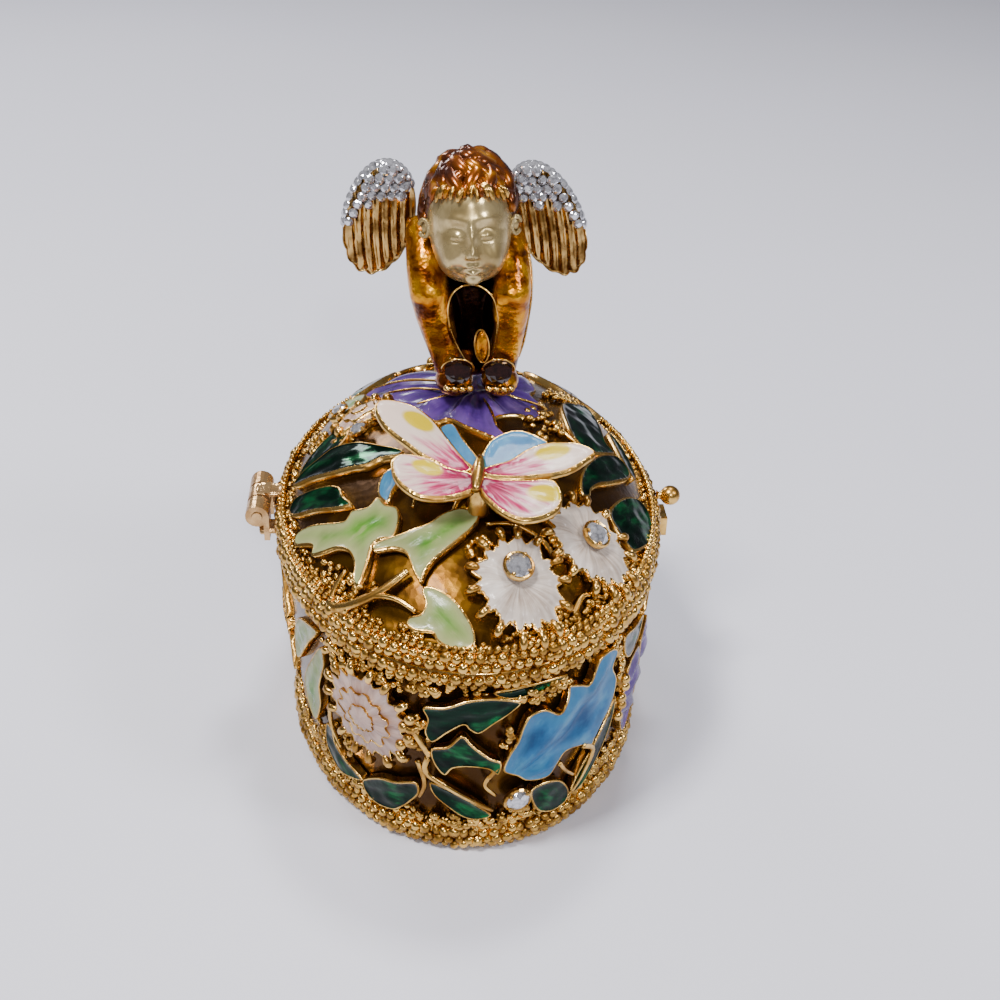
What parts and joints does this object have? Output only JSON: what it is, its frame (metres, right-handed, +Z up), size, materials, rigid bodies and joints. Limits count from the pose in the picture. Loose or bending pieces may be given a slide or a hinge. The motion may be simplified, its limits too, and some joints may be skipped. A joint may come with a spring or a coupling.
{
  "type": "trinket box",
  "caption": "Oval cast trinket box with hinged domed lid, enamelled flowers and leaves, butterfly, and a seated winged cherub on top.",
  "frame": {"origin": "centre of the flat underside of the box", "axes": "+Z up, -Y towards the front that the cherub faces, hinge at -X, knob at +X"},
  "size_m": [0.0473, 0.0588, 0.0639],
  "materials": {
    "gilt_cast": "gilt casting with coloured enamel",
    "gilt_hinge": "matte rose gilt",
    "gilt_knob": "polished gilt",
    "amber_figure": "gilt casting under clear amber enamel",
    "white_enamel": "gilt casting under glossy enamel",
    "clear_stone": "cut clear glass stone with foiled back",
    "dark_stone": "cut dark brown glass stone"
  },
  "bodies": {
    "box": {"box_body": "gilt_cast", "hinge_knuckle_front": "gilt_hinge", "hinge_knuckle_back": "gilt_hinge", "hinge_pin": "gilt_hinge", "clasp_tab": "gilt_knob", "body_stone": "clear_stone"},
    "lid_assembly": {"lid": "gilt_cast", "hinge_knuckle_lid": "gilt_hinge", "clasp_knob": "gilt_knob", "cherub": "amber_figure", "butterfly": "white_enamel", "wing_stones_left": "clear_stone", "wing_stones_right": "clear_stone", "daisy_stone_front": "clear_stone", "daisy_stone_right": "clear_stone", "flower_stone_back": "clear_stone", "flower_stone_front": "clear_stone", "foot_stone_left": "dark_stone", "foot_stone_right": "dark_stone"}
  },
  "joints": [
    {"name": "lid_hinge", "type": "hinge", "parent": "box", "child": "lid_assembly", "pos_m": [-0.0226, 0, 0.0256], "axis": [0, -1, 0], "range_deg": [0, 95]}
  ]
}
